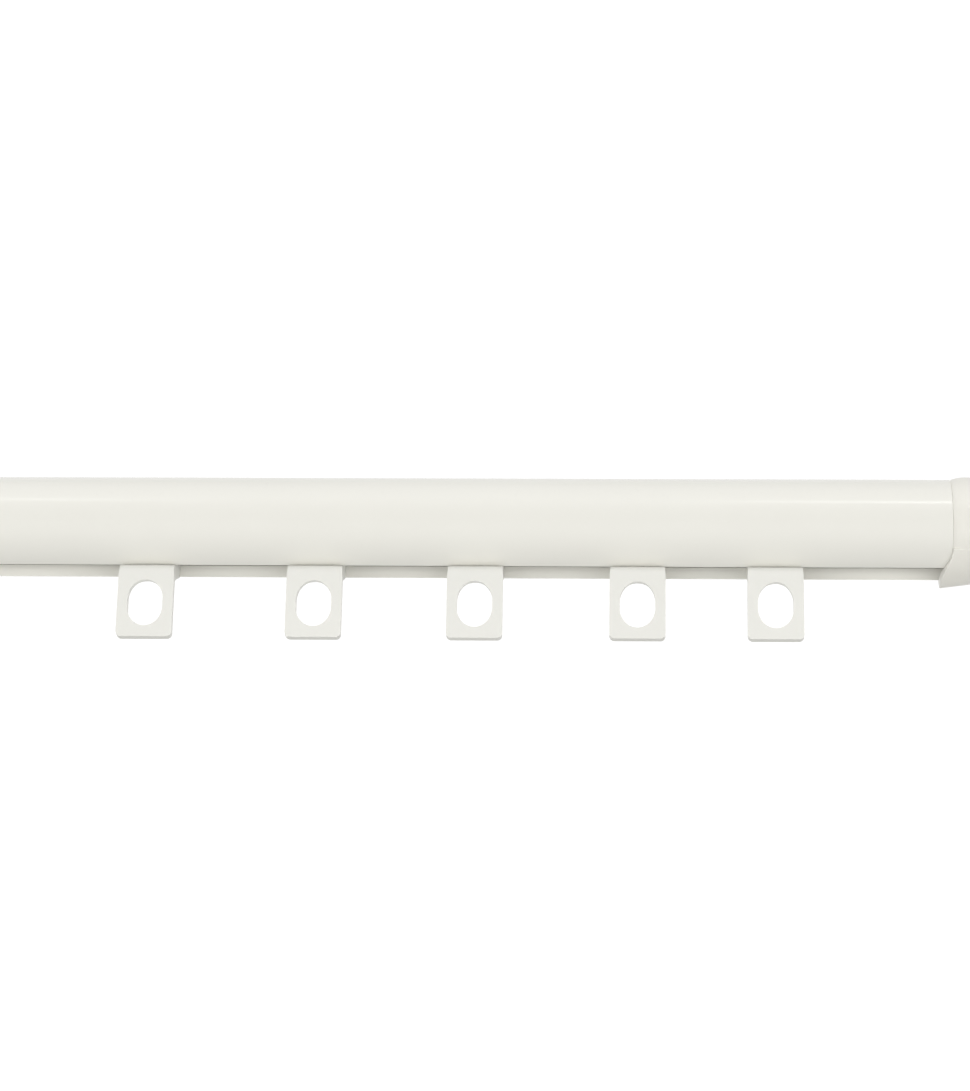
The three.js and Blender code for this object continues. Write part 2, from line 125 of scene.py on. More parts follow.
class CapSettings(bpy.types.PropertyGroup):
    gap: length("Gap", "Between the cap and the tube", 0.3)
    rim_gap: length("Rim gap", "Between the cap's rim and the tube's end", 0.06)
    drop: length("Drop", "The head's centre below the tube's axis", 0.1)
    lead: length("Lead", "Length of the soft rise from the rim", 4)
    edge_radius: length("Edge radius", "Rounding of the outer edge", 1.6)
    spigot_length: length("Spigot length", "Inside the tube", 14)
    spigot_wall: length("Spigot wall", "Thickness of the spigot", 1.6)
    tongue_length: length("Tongue length", "How far the lip reaches under the slot", 2.9)
    tongue_depth: length("Tongue depth", "The lip below the tube", 2.4)


class BracketSettings(bpy.types.PropertyGroup):
    cover_wall: length("Cover wall", "Thickness of the cover", 1.5)
    saddle_wall: length("Saddle wall", "Thickness of the cast band", 3)
    saddle_rear: FloatProperty(
        name="Saddle rear end", description="Angle below level, on the wall side",
        default=math.radians(-50), subtype="ANGLE")
    saddle_front: FloatProperty(
        name="Saddle front end", description="Angle past the top, on the room side",
        default=math.radians(200), subtype="ANGLE")
    hub_diameter: length("Hub diameter", "The socket for the stem", 18)
    boss_diameter: length("Boss diameter", "The boss for the tube's screw", 10)
    bore_room: length("Bore room", "Around each screw and stem", 0.3)
    screw_pitch: length("Screw spacing", "Between the two wall screws", 34)
    facets: IntProperty(
        name="Facets", description="Sides of a turned piece", default=96, min=24)


class FinishSettings(bpy.types.PropertyGroup):
    paint: FloatVectorProperty(
        name="Paint", description="Gloss powder coat", default=(0.80, 0.79, 0.735), subtype="COLOR")
    glider_plastic: FloatVectorProperty(
        name="Glider plastic", description="Moulded, soft sheen",
        default=(0.775, 0.77, 0.725), subtype="COLOR")
    cap_plastic: FloatVectorProperty(
        name="Cap plastic", description="Moulded, soft gloss", default=(0.80, 0.785, 0.725), subtype="COLOR")
    zinc: FloatVectorProperty(
        name="Zinc", description="Bright plate on steel", default=(0.62, 0.62, 0.61), subtype="COLOR")
    nylon: FloatVectorProperty(
        name="Nylon", description="Wall plugs", default=(0.5, 0.5, 0.47), subtype="COLOR")


class StageSettings(bpy.types.PropertyGroup):
    lens: FloatProperty(
        name="Lens", description="Focal length in millimetres", default=115.75, subtype="DISTANCE_CAMERA")
    distance: FloatProperty(
        name="Distance", description="From the camera to its target", default=0.978, unit="LENGTH")
    target_inset: length("Target inset", "From the right end of the tube", 128.83)
    target_drop: length("Target drop", "Below the tube's axis", 5.07)
    pitch: FloatProperty(
        name="Pitch", description="How far the camera looks up", default=math.radians(19.38), subtype="ANGLE")
    yaw: FloatProperty(
        name="Yaw", description="How far it looks to the right", default=math.radians(-2.59), subtype="ANGLE")
    roll: FloatProperty(
        name="Roll", description="How far it leans", default=math.radians(1.08), subtype="ANGLE")
    floor_drop: FloatProperty(
        name="Floor drop", description="Below the tube's axis", default=0.9, unit="LENGTH")
    floor_shade: FloatProperty(
        name="Floor shade", description="How much light the floor gives back", default=0.25, min=0, max=1)
    sky: FloatProperty(
        name="Sky", description="Strength of the surroundings overhead", default=1.3, min=0)
    sky_level: FloatProperty(
        name="Sky at eye level", description="Strength of the surroundings in front, at eye level",
        default=0.12, min=0)
    panel: FloatProperty(
        name="Panel", description="Strength of the low panel lamps", default=3.4, min=0)
    lamp_distance: FloatProperty(
        name="Lamp distance", description="From the rod to the strip lamps", default=2.0, unit="LENGTH")
    lamp_height: FloatProperty(
        name="Lamp angle", description="Of the strip lamps above level",
        default=math.radians(46.5), subtype="ANGLE")


class CurtainRodSettings(bpy.types.PropertyGroup):
    tube: PointerProperty(type=TubeSettings, name="Tube", description="The slotted tube")
    glider: PointerProperty(type=GliderSettings, name="Glider", description="The eyelet gliders")
    cap: PointerProperty(type=CapSettings, name="Cap", description="The end caps")
    bracket: PointerProperty(type=BracketSettings, name="Bracket", description="The wall brackets")
    finish: PointerProperty(type=FinishSettings, name="Finish", description="Colours")
    stage: PointerProperty(type=StageSettings, name="Stage", description="Camera, lights and floor")


# ---- modelling by hand --------------------------------------------------------------
def deselect_all():
    if bpy.context.object and bpy.context.object.mode != "OBJECT":
        bpy.ops.object.mode_set(mode="OBJECT")
    bpy.ops.object.select_all(action="DESELECT")


def take(piece):
    """Selects the piece alone and makes it the active one."""
    deselect_all()
    piece.select_set(True)
    bpy.context.view_layer.objects.active = piece


def begin(name, primitive, **place):
    """Adds a primitive at its place, with its place in the mesh, and names it."""
    deselect_all()
    primitive(**place)
    piece = bpy.context.active_object
    piece.name = piece.data.name = name
    bpy.ops.object.transform_apply(location=True, rotation=True, scale=True)
    return piece


@contextmanager
def editing(piece):
    take(piece)
    bpy.ops.object.mode_set(mode="EDIT")
    bpy.ops.mesh.select_mode(type="VERT")
    yield
    bpy.ops.object.mode_set(mode="OBJECT")


def pick_all():
    bpy.ops.mesh.select_all(action="SELECT")


def pick(piece, test):
    """Selects the vertices whose place passes the test, and the edges and faces between them."""
    bpy.ops.mesh.select_all(action="DESELECT")
    mesh = bmesh.from_edit_mesh(piece.data)
    for vertex in mesh.verts:
        vertex.select_set(bool(test(vertex.co)))
    mesh.select_flush_mode()
    bmesh.update_edit_mesh(piece.data)


def pick_faces(piece, test):
    """Selects the faces whose middle and normal pass the test."""
    bpy.ops.mesh.select_mode(type="FACE")
    bpy.ops.mesh.select_all(action="DESELECT")
    mesh = bmesh.from_edit_mesh(piece.data)
    for face in mesh.faces:
        face.select_set(bool(test(face.calc_center_median(), face.normal)))
    mesh.select_flush_mode()
    bmesh.update_edit_mesh(piece.data)


def pick_edges(piece, test):
    """Selects the edges whose two ends pass the test together."""
    bpy.ops.mesh.select_mode(type="EDGE")
    bpy.ops.mesh.select_all(action="DESELECT")
    mesh = bmesh.from_edit_mesh(piece.data)
    for edge in mesh.edges:
        edge.select_set(bool(test(edge.verts[0].co, edge.verts[1].co)))
    bmesh.update_edit_mesh(piece.data)


def push(x=0, y=0, z=0):
    bpy.ops.transform.translate(value=(x, y, z))


def pull_out(x=0, y=0, z=0):
    bpy.ops.mesh.extrude_region_move(TRANSFORM_OT_translate={"value": (x, y, z)})


def widen(centre, x=1, y=1, z=1):
    bpy.ops.transform.resize(value=(x, y, z), center_override=centre)


def use(piece, kind, **settings):
    """Adds a modifier with its settings and applies it."""
    take(piece)
    modifier = piece.modifiers.new(kind.title(), kind)
    for name, value in settings.items():
        setattr(modifier, name, value)
    bpy.ops.object.modifier_apply(modifier=modifier.name)


def carve(piece, *cutters, operation="DIFFERENCE"):
    for cutter in cutters:
        use(piece, "BOOLEAN", operation=operation, solver="EXACT", object=cutter)
        bpy.data.objects.remove(cutter)


def close_up(piece, gap=0.005 * MM):
    """Merges doubles and turns every face outwards."""
    with editing(piece):
        pick_all()
        bpy.ops.mesh.remove_doubles(threshold=gap)
        bpy.ops.mesh.normals_make_consistent(inside=False)


def round_edges(piece, radius, segments=3, sharper_than=35):
    use(piece, "BEVEL", width=radius, segments=segments, limit_method="ANGLE",
        angle_limit=math.radians(sharper_than), miter_outer="MITER_ARC")


def smooth(piece, sharper_than=40):
    take(piece)
    bpy.ops.object.shade_smooth_by_angle(angle=math.radians(sharper_than))
    use(piece, "WEIGHTED_NORMAL", keep_sharp=True, weight=80)


def arc(radius, start, end, steps, centre=(0, 0)):
    """Points along an arc; the angles are in degrees."""
    angles = [math.radians(start + (end - start) * i / steps) for i in range(steps + 1)]
    return [(centre[0] + radius * math.cos(a), centre[1] + radius * math.sin(a)) for a in angles]


def quarter(steps):
    """The angles of a quarter turn."""
    return [math.pi / 2 * i / steps for i in range(steps + 1)]


def rounded(radius, end, edge, steps):
    """The rounded outer edge of a turned body's end, as (radius, y) pairs."""
    return [(radius - edge + edge * math.cos(a), end - edge + edge * math.sin(a)) for a in quarter(steps)]


def flared(radius, spread, start, rise, steps):
    """A foot that narrows to the radius in a hollow curve, as (radius, y) pairs."""
    return [(radius + spread * (1 - math.sin(a)), start + rise * (1 - math.cos(a))) for a in quarter(steps)]


def draw(name, points):
    """A chain of edges through the points: one vertex, extruded from each point to the next."""
    piece = begin(name, bpy.ops.mesh.primitive_plane_add, size=MM, location=points[0])
    with editing(piece):
        pick_all()
        bpy.ops.mesh.merge(type="CENTER")
        for last, point in zip(points, points[1:]):
            pull_out(*(Vector(point) - Vector(last)))
    return piece


def turned(name, profile, facets):
    """A body turned about the Y axis through the origin, from (radius, y) pairs in millimetres."""
    piece = draw(name, [(radius * MM, y * MM, 0) for radius, y in profile])
    with editing(piece):
        pick_all()
        bpy.ops.mesh.spin(steps=facets, angle=2 * math.pi, center=(0, 0, 0), axis=(0, 1, 0))
    close_up(piece)
    return piece


def rod(name, radius, near, far, facets=32):
    return turned(name, [(0, near), (radius, near), (radius, far), (0, far)], facets)


def hex_socket(name, across, near, far):
    """A cutter for a hex key's socket, along the Y axis."""
    return rod(name, across / math.sqrt(3), near, far, 6)


def threaded_rod(name, core, crest, pitch, near, far, facets=24):
    """A closed threaded rod along the Y axis: one tooth, screwed round and cut square."""
    turns = math.ceil((far - near) / pitch) + 2
    tooth = draw(name, [
        (core * MM, 0, 0), (core * MM, 0.2 * pitch * MM, 0), (crest * MM, 0.5 * pitch * MM, 0),
        (crest * MM, 0.62 * pitch * MM, 0), (core * MM, pitch * MM, 0),
    ])
    use(tooth, "SCREW", axis="Y", screw_offset=pitch * MM, iterations=turns, steps=facets,
        render_steps=facets, use_merge_vertices=True, merge_threshold=0.002 * MM)
    tooth.data.transform(Matrix.Translation((0, (near - pitch) * MM, 0)))
    with editing(tooth):
        for end, direction in ((near, -1), (far, 1)):
            pick_all()
            bpy.ops.mesh.bisect(plane_co=(0, end * MM, 0), plane_no=(0, direction, 0),
                                clear_outer=True, use_fill=True, threshold=0.001 * MM)
    close_up(tooth, 0.002 * MM)
    return tooth


def copy_to(piece, name, offset=(0, 0, 0), turn=None):
    """A copy with a mesh of its own, moved or turned in the mesh."""
    made = piece.copy()
    made.data = piece.data.copy()
    made.name = made.data.name = name
    bpy.context.scene.collection.objects.link(made)
    made.data.transform(Matrix.Translation(offset) @ (turn or Matrix()))
    return made


def hand_over(piece, node, material):
    """The piece stands for a CAD node, rides on its body and takes the finish it is given."""
    piece.name = piece.data.name = node + "_fine"
    piece.data.materials.clear()
    piece.data.materials.append(material)
    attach(piece, frame["nodes"][node]["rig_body"])
    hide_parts(node)


def hand_over_copies(pattern, nodes, anchor, material):
    """One copy of the pattern for each node, its anchor point on the node's own."""
    for node in nodes:
        copy = copy_to(pattern, node + "_fine", anchor(node))
        hand_over(copy, node, material)
    bpy.data.objects.remove(pattern)


# ---- shared effects -----------------------------------------------------------------
def feed(tree, sockets, values):
    """Each value is a plain one or the socket that it comes from."""
    for socket, value in zip(sockets, values):
        if isinstance(value, bpy.types.NodeSocket):
            tree.links.new(value, socket)
        else:
            socket.default_value = value


def add_node(tree, kind, inputs=None, **settings):
    """A shader node with its settings; an input is a value or the socket that feeds it."""
    inputs = inputs or {}
    made = tree.nodes.new(kind)
    for name, value in settings.items():
        setattr(made, name, value)
    feed(tree, [made.inputs[name] for name in inputs], inputs.values())
    return made


def new_group(name, inputs, outputs):
    """A shader node group with sockets given as name: (type, default)."""
    group = bpy.data.node_groups.new(name, "ShaderNodeTree")
    for socket, (kind, default) in inputs.items():
        made = group.interface.new_socket(socket, in_out="INPUT", socket_type="NodeSocket" + kind)
        made.default_value = default
    for socket, kind in outputs.items():
        group.interface.new_socket(socket, in_out="OUTPUT", socket_type="NodeSocket" + kind)
    return group, group.nodes.new("NodeGroupInput").outputs, group.nodes.new("NodeGroupOutput").inputs


def noise(tree, where, scale, detail):
    made = add_node(tree, "ShaderNodeTexNoise", {"Vector": where, "Scale": scale, "Detail": detail})
    return made.outputs[0]


def maths(tree, operation, *values, clamp=False):
    made = add_node(tree, "ShaderNodeMath", operation=operation, use_clamp=clamp)
    feed(tree, made.inputs, values)
    return made.outputs[0]


def mix_colour(tree, share, first, second):
    made = add_node(tree, "ShaderNodeMix", data_type="RGBA")
    feed(tree, [made.inputs[i] for i in (0, 6, 7)], (share, first, second))
    return made.outputs[2]


def surface_drift_group():
    """Slow drift of colour and gloss, as every coated or moulded surface has."""
    group, given, result = new_group("Surface Drift", {
        "Colour": ("Color", (0.8, 0.8, 0.8, 1)), "Shade": ("Color", (0.7, 0.7, 0.7, 1)),
        "Share": ("Float", 0.3), "Scale": ("Float", 20.0),
        "Roughness": ("Float", 0.3), "Spread": ("Float", 0.1),
    }, {"Colour": "Color", "Roughness": "Float"})
    where = group.nodes.new("ShaderNodeTexCoord").outputs["Object"]
    slow = noise(group, where, given["Scale"], 3.0)
    quick = noise(group, where, maths(group, "MULTIPLY", given["Scale"], 9.0), 4.0)
    share = maths(group, "MULTIPLY", slow, given["Share"], clamp=True)
    group.links.new(mix_colour(group, share, given["Colour"], given["Shade"]), result["Colour"])
    swing = maths(group, "SUBTRACT", maths(group, "ADD", slow, quick), 1.0)
    roughness = maths(group, "MULTIPLY_ADD", swing, given["Spread"], given["Roughness"])
    group.links.new(roughness, result["Roughness"])
    return group


def orange_peel_group():
    """The height of a coat that has flowed out: soft dimples with a finer grain on them."""
    group, given, result = new_group("Orange Peel", {
        "Dimples": ("Float", 500.0), "Grain": ("Float", 2500.0), "Grain share": ("Float", 0.2),
    }, {"Height": "Float"})
    where = group.nodes.new("ShaderNodeTexCoord").outputs["Object"]
    dimples = noise(group, where, given["Dimples"], 1.0)
    grain = noise(group, where, given["Grain"], 2.0)
    height = maths(group, "MULTIPLY_ADD", grain, given["Grain share"], dimples)
    group.links.new(height, result["Height"])
    return group


def edge_wear_and_highlight_group():
    """A mask along the edges: partly where a coat is thin and a moulding is scuffed, partly a painted
    highlight for edges that catch the light.
    """
    group, given, result = new_group("Edge Wear and Painted Highlight", {
        "Amount": ("Float", 0.5), "Patches": ("Float", 300.0),
    }, {"Mask": "Float"})
    where = group.nodes.new("ShaderNodeTexCoord").outputs["Object"]
    bevelled = add_node(group, "ShaderNodeBevel", {"Radius": 0.5 * MM}, samples=4).outputs[0]
    flat = group.nodes.new("ShaderNodeNewGeometry").outputs["Normal"]
    dot = add_node(group, "ShaderNodeVectorMath", operation="DOT_PRODUCT")
    feed(group, dot.inputs, (bevelled, flat))
    bend = maths(group, "SUBTRACT", 1.0, dot.outputs["Value"])
    patches = maths(group, "ADD", noise(group, where, given["Patches"], 3.0), 0.5)
    patchy = maths(group, "MULTIPLY", bend, patches)
    mask = maths(group, "MULTIPLY", maths(group, "MULTIPLY", patchy, given["Amount"]), 10.0, clamp=True)
    group.links.new(mask, result["Mask"])
    return group


def fine_dust_group():
    """A mask of settled dust: only where the surface faces up, in faint specks."""
    group, given, result = new_group("Fine Dust", {
        "Amount": ("Float", 0.3), "Specks": ("Float", 900.0),
    }, {"Mask": "Float"})
    where = group.nodes.new("ShaderNodeTexCoord").outputs["Object"]
    normal = group.nodes.new("ShaderNodeNewGeometry").outputs["Normal"]
    up = add_node(group, "ShaderNodeSeparateXYZ", {"Vector": normal}).outputs["Z"]
    facing = maths(group, "SMOOTH_MIN", maths(group, "MAXIMUM", up, 0.0), 1.0, 0.2)
    specks = add_node(group, "ShaderNodeMapRange", {
        "Value": noise(group, where, given["Specks"], 4.0),
        "From Min": 0.55, "From Max": 0.75,
    }).outputs[0]
    film = maths(group, "ADD", maths(group, "MULTIPLY", specks, 0.7), 0.3)
    mask = maths(group, "MULTIPLY", maths(group, "MULTIPLY", facing, film), given["Amount"], clamp=True)
    group.links.new(mask, result["Mask"])
    return group


GROUP_MAKERS = {
    "Surface Drift": surface_drift_group,
    "Orange Peel": orange_peel_group,
    "Edge Wear and Painted Highlight": edge_wear_and_highlight_group,
    "Fine Dust": fine_dust_group,
}


def effect(tree, name, **inputs):
    """Places a shared effect in a material with values of its own."""
    group = bpy.data.node_groups.get(name) or GROUP_MAKERS[name]()
    made = add_node(tree, "ShaderNodeGroup", node_tree=group)
    for socket, value in inputs.items():
        made.inputs[socket.replace("_", " ").capitalize()].default_value = value
    return made.outputs


# ---- finishes -----------------------------------------------------------------------
def shade_of(colour, share):
    return tuple(channel * share for channel in colour) + (1,)


def coated(name, colour, roughness, spread, dimples, depth, worn_and_lit, wear_and_highlight=0.3, dust=0.25, shader=None):
    """A finish whose colour, gloss, relief, edges and dust all vary over the surface."""
    found = bpy.data.materials.get(name)
    if found:
        return found
    material = bpy.data.materials.new(name)
    material.use_nodes = True
    material.diffuse_color = tuple(colour) + (1,)
    tree = material.node_tree
    surface = tree.nodes["Principled BSDF"]
    for socket, value in (shader or {}).items():
        surface.inputs[socket].default_value = value
    drift = effect(tree, "Surface Drift", colour=tuple(colour) + (1,), shade=shade_of(colour, 0.93),
                   share=0.35, scale=35.0, roughness=roughness, spread=spread)
    edges = effect(tree, "Edge Wear and Painted Highlight", amount=wear_and_highlight)
    settled = effect(tree, "Fine Dust", amount=dust)
    relief = effect(tree, "Orange Peel", dimples=dimples, grain=dimples * 5)
    # Edges turn lighter along the mask: partly thin coat and scuffing, partly a painted highlight as if they
    # caught the light.
    rubbed_and_lit = mix_colour(tree, edges["Mask"], drift["Colour"], tuple(worn_and_lit) + (1,))
    dusty = mix_colour(tree, settled["Mask"], rubbed_and_lit, shade_of(colour, 0.82))
    tree.links.new(dusty, surface.inputs["Base Color"])
    dulled = maths(tree, "MULTIPLY_ADD", settled["Mask"], 0.35, drift["Roughness"])
    tree.links.new(dulled, surface.inputs["Roughness"])
    bump = add_node(tree, "ShaderNodeBump", {"Strength": 1.0, "Distance": depth, "Height": relief["Height"]})
    tree.links.new(bump.outputs["Normal"], surface.inputs["Normal"])
    return material


def lighter(colour, share):
    return [min(1, channel * share) for channel in colour]


def finish_settings():
    return bpy.context.scene.curtain_rod.finish


# Each finish's lighter edge colour is partly scuffing and partly a painted highlight along the edges.
def gloss_paint():
    colour = finish_settings().paint
    return coated("gloss powder coat", colour, 0.13, 0.04, 420.0, 0.003 * MM, worn_and_lit=lighter(colour, 1.04))


def glider_plastic():
    colour = finish_settings().glider_plastic
    return coated("glider plastic", colour, 0.42, 0.08, 1400.0, 0.006 * MM, worn_and_lit=lighter(colour, 1.03))


def cap_plastic():
    colour = finish_settings().cap_plastic
    return coated("cap plastic", colour, 0.34, 0.07, 1100.0, 0.006 * MM, worn_and_lit=lighter(colour, 1.03))


def zinc_plate():
    colour = finish_settings().zinc
    return coated("zinc plate", colour, 0.3, 0.14, 900.0, 0.006 * MM, worn_and_lit=(0.75, 0.75, 0.74),
                  wear_and_highlight=0.8, shader={"Metallic": 1.0})


def grey_nylon():
    colour = finish_settings().nylon
    return coated("grey nylon", colour, 0.55, 0.1, 1600.0, 0.012 * MM, worn_and_lit=(0.62, 0.62, 0.59))


# ---- the pieces ---------------------------------------------------------------------
def slot_lip():
    """The slot's edges: half the slot's width, and their height below the tube's axis."""
    half_slot = bpy.context.scene.curtain_rod.tube.slot_width / 2
    return half_slot, math.sqrt(TUBE_RADIUS ** 2 - half_slot ** 2)


def make_tube(settings):
    """Rolled from sheet, open underneath along its length, with both edges turned up."""
    bays = 24
    run = TUBE_HIGH.x - TUBE_LOW.x
    half_slot, drop = slot_lip()
    edge = math.degrees(math.asin(half_slot / TUBE_RADIUS))
    wrap = arc(TUBE_RADIUS, -90 + edge, 270 - edge, settings.facets)
    top = settings.lip_height - drop
    section = [(half_slot, top), *wrap, (-half_slot, top)]
    tube = draw("tube", [(TUBE_LOW.x, AXIS_Y + y, AXIS_Z + z) for y, z in section])
    with editing(tube):
        pick_all()
        for _ in range(bays):
            pull_out(x=run / bays)
    close_up(tube)
    face_out(tube)
    with editing(tube):
        pick_edges(tube, lambda a, b: all(
            abs(at.z - AXIS_Z + drop) < SAME and abs(abs(at.y - AXIS_Y) - half_slot) < SAME
            for at in (a, b)))
        bpy.ops.mesh.bevel(offset=settings.fold_radius, segments=4, affect="EDGES")
    use(tube, "SOLIDIFY", thickness=settings.wall, offset=-1, use_even_offset=True)
    round_edges(tube, settings.edge_radius, segments=2, sharper_than=60)
    smooth(tube)
    hand_over(tube, "slotted_tube", gloss_paint())


def face_out(sheet):
    """Turns an open sheet so that its highest face looks up."""
    with editing(sheet):
        top = max(bmesh.from_edit_mesh(sheet.data).faces, key=lambda face: face.calc_center_median().z)
        if top.normal.z < 0:
            pick_all()
            bpy.ops.mesh.flip_normals()


GOOSENECK_STEPS = 12


def bend(start, leave, arrive, end, steps):
    """Points along a cubic curve, without its first one."""
    made = []
    for i in range(1, steps + 1):
        t = i / steps
        shares = ((1 - t) ** 3, 3 * t * (1 - t) ** 2, 3 * t ** 2 * (1 - t), t ** 3)
        made.append(sum((s * Vector(p) for s, p in zip(shares, (start, leave, arrive, end))), Vector((0, 0))))
    return made


def make_glider_pattern(settings):
    """One glider at X = 0, about the tube's axis: tab, gooseneck, neck and head."""
    low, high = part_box(GLIDERS[0])
    face, bottom, head_top = low.y - AXIS_Y, low.z - AXIS_Z, high.z - AXIS_Z
    head_half = high.y - AXIS_Y
    half_neck = settings.neck_depth / 2
    back = face + settings.tab_thickness
    shoulder = bottom + settings.tab_height
    _, drop = slot_lip()
    under = bpy.context.scene.curtain_rod.tube.lip_height - drop + settings.running_room
    half_tab, half_width = settings.tab_width / 2, settings.neck_width / 2
    front_start, rear_start, neck_foot = shoulder - 0.6 * MM, shoulder - 2 * MM, -drop - 0.3 * MM
    front = bend((face, front_start), (face, shoulder + 2.7 * MM), (face + 1 * MM, -drop - 0.1 * MM),
                 (-half_neck, neck_foot), GOOSENECK_STEPS)
    rear = bend((back, rear_start), (back, shoulder + 0.2 * MM), (0, -drop - 2.6 * MM),
                (half_neck, neck_foot), GOOSENECK_STEPS)

    glider = begin("glider pattern", bpy.ops.mesh.primitive_plane_add, size=1)
    with editing(glider):
        pick_all()
        widen((0, 0, 0), x=settings.tab_width, y=settings.tab_thickness)
        push(y=(face + back) / 2, z=bottom)
        stations = [(Vector((face, bottom)), Vector((back, bottom))),
                    (Vector((face, front_start)), Vector((back, rear_start)))]
        stations += list(zip(front, rear))
        stations += [(Vector((-half_neck, z)), Vector((half_neck, z))) for z in (under, head_top)]
        width = half_tab
        for (last_front, last_rear), (ahead, behind) in zip(stations, stations[1:]):
            pull_out()
            share = min(1, max(0, (ahead.y - shoulder) / (-drop - shoulder)))
            wanted = half_tab + (half_width - half_tab) * share
            widen((0, 0, 0), x=wanted / width)
            width = wanted
            move_half(glider, True, ahead - last_front)
            move_half(glider, False, behind - last_rear)
        for side in (-1, 1):
            pick_faces(glider, lambda at, normal: at.z > under and normal.y * side > 0.9)
            pull_out(y=side * (head_half - half_neck))
        for side in (-1, 1):
            pick_faces(glider, lambda at, normal: at.z > under and normal.x * side > 0.9)
            pull_out(x=side * ((high.x - low.x) / 2 - half_width))
    close_up(glider)
    with editing(glider):
        pick_edges(glider, lambda a, b: max(a.z, b.z) < bottom + SAME and abs(a.x - b.x) < SAME)
        bpy.ops.mesh.bevel(offset=settings.corner_radius, segments=8, affect="EDGES")
    close_up(glider)
    carve(glider, eye_cutter(settings, face, back, bottom))
    round_edges(glider, settings.edge_radius, segments=4, sharper_than=40)
    smooth(glider)
    return glider


def move_half(glider, front, step):
    """Moves the front or the rear half of the selected end face."""
    mesh = bmesh.from_edit_mesh(glider.data)
    chosen = [vertex for vertex in mesh.verts if vertex.select]
    middle_y = sum(vertex.co.y for vertex in chosen) / len(chosen)
    bpy.ops.mesh.select_mode(type="VERT")
    for vertex in chosen:
        vertex.select_set((vertex.co.y < middle_y) == front)
    mesh.select_flush_mode()
    push(y=step.x, z=step.y)
    for vertex in chosen:
        vertex.select_set(True)
    mesh.select_flush_mode()


def eye_cutter(settings, face, back, bottom):
    """An oval with straight flanks: a circle parted at its middle, then stretched."""
    flank = 1.0 * MM
    radius = settings.eye_width / 2
    centre = (0, face - OVERRUN, bottom + settings.eye_lift)
    cutter = begin("eye cutter", bpy.ops.mesh.primitive_circle_add, vertices=72, radius=radius,
                   fill_type="NGON", location=centre, rotation=(math.pi / 2, 0, 0))
    with editing(cutter):
        pick(cutter, lambda at: at.z > centre[2] + SAME)
        push(z=flank)
        pick(cutter, lambda at: at.z < centre[2] - SAME)
        push(z=-flank)
        pick_all()
        widen(centre, z=settings.eye_height / 2 / (radius + flank))
        pull_out(y=back - face + 2 * OVERRUN)
        widen(centre, z=1 + 2 * settings.eye_draft / settings.eye_height)
    close_up(cutter)
    return cutter


def make_cap_pattern(settings):
    """The right end's cap about the tube's axis, with the tube's end at X = 0."""
    low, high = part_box("end_cap_right")
    end = (high.x - TUBE_HIGH.x) / MM
    head = (high.y - low.y) / 2 / MM
    gap, rim, lead, edge = (value / MM for value in (
        settings.gap, settings.rim_gap, settings.lead, settings.edge_radius))
    radius, wall = TUBE_RADIUS / MM, bpy.context.scene.curtain_rod.tube.wall / MM
    facets, seat, taper, lead_in = 144, 0.15, 0.7, 1.2
    soft_rise = [(radius + (head - radius) * math.sin(a), rim + (lead - rim) * i / 6)
                 for i, a in enumerate(quarter(6))]
    crown = rounded(head, end, edge, 8)
    cap = turned("cap pattern", [(0, rim), (radius - seat, rim), *soft_rise[1:], *crown, (0, end)], facets)
    cap.data.transform(Matrix.Translation((0, 0, -settings.drop)))

    outer, deep = radius - wall - gap, -settings.spigot_length / MM
    inner = outer - settings.spigot_wall / MM
    spigot = turned("spigot", [
        (0, 1), (outer, 1), (outer, deep + lead_in), (outer - taper, deep), (inner, deep),
        (inner, rim), (0, rim),
    ], facets)
    half_slot, _ = slot_lip()
    room = 2 * (half_slot + settings.gap + wall * MM)
    lip_room = begin("lip room", bpy.ops.mesh.primitive_cube_add, size=1, location=(0, 0, -TUBE_RADIUS / 2),
                     scale=(room, 4 * settings.spigot_length, TUBE_RADIUS))
    carve(spigot, lip_room)
    carve(cap, spigot, operation="UNION")
    cap.data.transform(Matrix.Rotation(-math.pi / 2, 4, "Z"))
    carve(cap, make_tongue(settings), operation="UNION")
    smooth(cap)
    return cap


def make_tongue(settings):
    """The lip under the slot: it sweeps out of the rim and tapers away under the head."""
    outer, inner = TUBE_RADIUS + settings.tongue_depth, TUBE_RADIUS + settings.gap
    reach, root, sunk = settings.tongue_length, 8 * MM, TUBE_RADIUS + 0.9 * MM
    across, middle_part, steps, thin_share = 50, 8, 40, 0.35
    angles = [-90 - across + 2 * across * i / steps for i in range(steps + 1)]

    def sweep(angle):
        """How far the edge reaches: all the way in the middle, none at the sides."""
        share = min(1, max(0, (abs(angle + 90) - middle_part) / (across - middle_part)))
        return (1 + math.cos(math.pi * share)) / 2

    def depth(angle):
        return TUBE_RADIUS + (outer - TUBE_RADIUS) * (thin_share + (1 - thin_share) * sweep(angle))

    def point(angle, x, radius):
        return x, radius * math.cos(math.radians(angle)), radius * math.sin(math.radians(angle))

    tongue = draw("tongue", [point(a, settings.rim_gap - reach * sweep(a), depth(a)) for a in angles])
    with editing(tongue):
        pick_all()
        pull_out(x=reach + root)
        for a in angles:
            tip = Vector(point(a, settings.rim_gap + reach * (1 - sweep(a)) + root, depth(a)))
            pick(tongue, lambda at: (at - tip).length < 2 * SAME)
            push(*(Vector(point(a, root, sunk)) - tip))
    close_up(tongue)
    with editing(tongue):
        lowest = min(bmesh.from_edit_mesh(tongue.data).faces, key=lambda face: face.calc_center_median().z)
        if lowest.normal.z > 0:
            pick_all()
            bpy.ops.mesh.flip_normals()
    use(tongue, "SOLIDIFY", thickness=outer - inner, offset=-1, use_even_offset=True)
    round_edges(tongue, 0.25 * MM)
    bore = rod("bore", inner / MM, -settings.spigot_length / MM, settings.rim_gap / MM, 144)
    bore.data.transform(Matrix.Rotation(-math.pi / 2, 4, "Z"))
    carve(tongue, bore)
    return tongue


